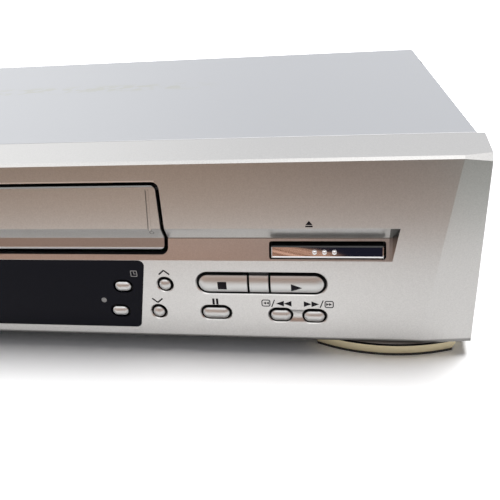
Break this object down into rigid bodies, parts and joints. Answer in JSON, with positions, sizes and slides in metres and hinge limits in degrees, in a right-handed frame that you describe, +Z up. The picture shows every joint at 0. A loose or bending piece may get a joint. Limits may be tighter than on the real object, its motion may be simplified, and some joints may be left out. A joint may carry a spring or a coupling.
{
  "type": "video cassette recorder",
  "caption": "Front-loading video cassette recorder in a silver case with a hinged cassette door, push buttons and a working tape deck inside.",
  "frame": {"origin": "middle of the footprint at the level the feet stand on", "axes": "+X to the right seen from the front, +Y from the front to the back, +Z up"},
  "size_m": [0.43, 0.275, 0.088],
  "materials": {
    "silver_plastic": "metallic silver paint, satin",
    "cap_silver": "silver cap, satin",
    "chrome_bar": "chrome plated, polished",
    "cover_steel": "silver powder coat, fine texture",
    "pan_steel": "galvanised",
    "screw_steel": "dark zinc",
    "cream_plastic": "champagne satin",
    "black_plastic": "matt",
    "rubber": "matt",
    "window": "polished smoked acrylic",
    "display": "glass",
    "board": "solder mask",
    "paper_board": "phenolic paper",
    "deck_steel": "galvanised",
    "drum_metal": "turned",
    "shaft_steel": "ground",
    "gear_plastic": "natural acetal",
    "reel_plastic": "matt",
    "arm_brass": "satin",
    "gold_jack": "bright",
    "coil": "taped winding"
  },
  "bodies": {
    "chassis": {"front_panel": "silver_plastic", "top_cover": "cover_steel", "bottom_pan": "pan_steel", "rear_panel": "pan_steel", "case_screws": "screw_steel", "front_feet": "cream_plastic", "rear_feet": "black_plastic", "foot_pads": "rubber", "display_window": "window", "display_module": "display", "front_board": "board", "tact_switches": "black_plastic", "transport_trim": "cap_silver", "front_av_jacks": "black_plastic", "deck_plate": "deck_steel", "carriage_frame": "deck_steel", "lower_drum": "drum_metal", "capstan_motor": "screw_steel", "erase_head": "shaft_steel", "audio_head": "shaft_steel", "loading_motor": "shaft_steel", "drive_belt": "rubber", "main_board": "board", "board_parts": "black_plastic", "power_board": "paper_board", "transformer": "coil", "tuner_can": "pan_steel", "scart_sockets": "black_plastic", "rear_jacks": "gold_jack", "mains_inlet": "black_plastic"},
    "door": {"cassette_door": "silver_plastic"},
    "stop": {"stop_button": "cap_silver"},
    "play": {"play_button": "cap_silver"},
    "pause": {"pause_button": "cap_silver"},
    "rewind": {"rewind_button": "cap_silver"},
    "fast_forward": {"fast_forward_button": "cap_silver"},
    "channel_up": {"channel_up_button": "cap_silver"},
    "channel_down": {"channel_down_button": "cap_silver"},
    "timer": {"timer_button": "cap_silver"},
    "record": {"record_button": "cap_silver"},
    "eject": {"eject_button": "chrome_bar"},
    "power": {"power_button": "chrome_bar"},
    "carriage": {"carriage_slider": "deck_steel"},
    "holder": {"cassette_holder": "deck_steel"},
    "carriage_pinion": {"carriage_gear": "gear_plastic"},
    "supply_reel": {"supply_reel_table": "reel_plastic"},
    "takeup_reel": {"takeup_reel_table": "reel_plastic"},
    "idler": {"idler_arm": "gear_plastic"},
    "idler_tyre": {"idler_wheel": "rubber"},
    "drum": {"upper_drum": "drum_metal"},
    "capstan_shaft": {"capstan": "shaft_steel"},
    "clutch": {"clutch_pulley": "gear_plastic"},
    "pinch": {"pinch_arm": "shaft_steel"},
    "pinch_tyre": {"pinch_roller": "rubber"},
    "supply_arm": {"supply_loading_arm": "arm_brass"},
    "takeup_arm": {"takeup_loading_arm": "arm_brass"},
    "mode": {"mode_gear": "gear_plastic"},
    "tension": {"tension_arm": "shaft_steel"}
  },
  "joints": [
    {"name": "door_hinge", "type": "hinge", "parent": "chassis", "child": "door", "pos_m": [-0.017, -0.1333, 0.0763], "axis": [1, 0, 0], "range_deg": [0, 85], "stiffness_Nm_per_rad": 0.01},
    {"name": "stop_press", "type": "slide", "parent": "chassis", "child": "stop", "axis": [0, 1, 0], "range_m": [0, 0.0008], "stiffness_N_per_m": 400},
    {"name": "play_press", "type": "slide", "parent": "chassis", "child": "play", "axis": [0, 1, 0], "range_m": [0, 0.0008], "stiffness_N_per_m": 400},
    {"name": "pause_press", "type": "slide", "parent": "chassis", "child": "pause", "axis": [0, 1, 0], "range_m": [0, 0.0008], "stiffness_N_per_m": 400},
    {"name": "rewind_press", "type": "slide", "parent": "chassis", "child": "rewind", "axis": [0, 1, 0], "range_m": [0, 0.0008], "stiffness_N_per_m": 400},
    {"name": "fast_forward_press", "type": "slide", "parent": "chassis", "child": "fast_forward", "axis": [0, 1, 0], "range_m": [0, 0.0008], "stiffness_N_per_m": 400},
    {"name": "channel_up_press", "type": "slide", "parent": "chassis", "child": "channel_up", "axis": [0, 1, 0], "range_m": [0, 0.0008], "stiffness_N_per_m": 400},
    {"name": "channel_down_press", "type": "slide", "parent": "chassis", "child": "channel_down", "axis": [0, 1, 0], "range_m": [0, 0.0008], "stiffness_N_per_m": 400},
    {"name": "timer_press", "type": "slide", "parent": "chassis", "child": "timer", "axis": [0, 1, 0], "range_m": [0, 0.0008], "stiffness_N_per_m": 400},
    {"name": "record_press", "type": "slide", "parent": "chassis", "child": "record", "axis": [0, 1, 0], "range_m": [0, 0.0008], "stiffness_N_per_m": 400},
    {"name": "eject_press", "type": "slide", "parent": "chassis", "child": "eject", "axis": [0, 1, 0], "range_m": [0, 0.0015], "stiffness_N_per_m": 400},
    {"name": "power_press", "type": "slide", "parent": "chassis", "child": "power", "axis": [0, 1, 0], "range_m": [0, 0.0015], "stiffness_N_per_m": 400},
    {"name": "carriage_slide", "type": "slide", "parent": "chassis", "child": "carriage", "axis": [0, 1, 0], "range_m": [0, 0.06]},
    {"name": "holder_drop", "type": "slide", "parent": "carriage", "child": "holder", "axis": [0, 0, -1], "range_m": [0, 0.0195]},
    {"name": "carriage_pinion_spin", "type": "hinge", "parent": "chassis", "child": "carriage_pinion", "pos_m": [0.0824, -0.0375, 0.033], "axis": [1, 0, 0], "range_deg": [-440, 0]},
    {"name": "supply_reel_spin", "type": "hinge", "parent": "chassis", "child": "supply_reel", "pos_m": [-0.063, -0.0485, 0.0245], "axis": [0, 0, 1], "continuous": true},
    {"name": "takeup_reel_spin", "type": "hinge", "parent": "chassis", "child": "takeup_reel", "pos_m": [0.029, -0.0485, 0.0245], "axis": [0, 0, 1], "continuous": true},
    {"name": "idler_swing", "type": "hinge", "parent": "chassis", "child": "idler", "pos_m": [-0.017, -0.0835, 0.024], "axis": [0, 0, 1], "range_deg": [-35.7, 35.7]},
    {"name": "idler_tyre_spin", "type": "hinge", "parent": "idler", "child": "idler_tyre", "pos_m": [-0.017, -0.0485, 0.026], "axis": [0, 0, 1], "continuous": true},
    {"name": "drum_spin", "type": "hinge", "parent": "chassis", "child": "drum", "pos_m": [-0.017, 0.0475, 0.044], "axis": [0, 0.1028, 0.9947], "continuous": true},
    {"name": "capstan_spin", "type": "hinge", "parent": "chassis", "child": "capstan_shaft", "pos_m": [0.045, 0.0185, 0.014], "axis": [0, 0, 1], "continuous": true},
    {"name": "clutch_spin", "type": "hinge", "parent": "chassis", "child": "clutch", "pos_m": [-0.017, -0.0235, 0.014], "axis": [0, 0, 1], "continuous": true},
    {"name": "pinch_swing", "type": "hinge", "parent": "chassis", "child": "pinch", "pos_m": [0.067, 0.0405, 0.03], "axis": [0, 0, 1], "range_deg": [-24.4, 0], "stiffness_Nm_per_rad": 0.02},
    {"name": "pinch_tyre_spin", "type": "hinge", "parent": "pinch", "child": "pinch_tyre", "pos_m": [0.0605, 0.0201, 0.04], "axis": [0, 0, 1], "continuous": true},
    {"name": "supply_arm_swing", "type": "hinge", "parent": "chassis", "child": "supply_arm", "pos_m": [-0.0323, 0.0287, 0.019], "axis": [0, 0, 1], "range_deg": [-115, 0]},
    {"name": "takeup_arm_swing", "type": "hinge", "parent": "chassis", "child": "takeup_arm", "pos_m": [-0.0017, 0.0287, 0.019], "axis": [0, 0, 1], "range_deg": [0, 115]},
    {"name": "mode_gear_spin", "type": "hinge", "parent": "chassis", "child": "mode", "pos_m": [-0.00779, 0.06327, 0.019], "axis": [0, 0, 1], "range_deg": [-90, 0]},
    {"name": "tension_swing", "type": "hinge", "parent": "chassis", "child": "tension", "pos_m": [-0.098, 0.0145, 0.024], "axis": [0, 0, 1], "range_deg": [0, 25], "stiffness_Nm_per_rad": 0.01}
  ],
  "couplings": [
    {"joint": "carriage_pinion_spin", "follows": "carriage_slide", "rad_per_m": -125},
    {"joint": "clutch_spin", "follows": "capstan_spin", "ratio": 1.1429},
    {"joint": "takeup_arm_swing", "follows": "supply_arm_swing", "ratio": -1},
    {"joint": "mode_gear_spin", "follows": "supply_arm_swing", "ratio": 0.77273}
  ]
}
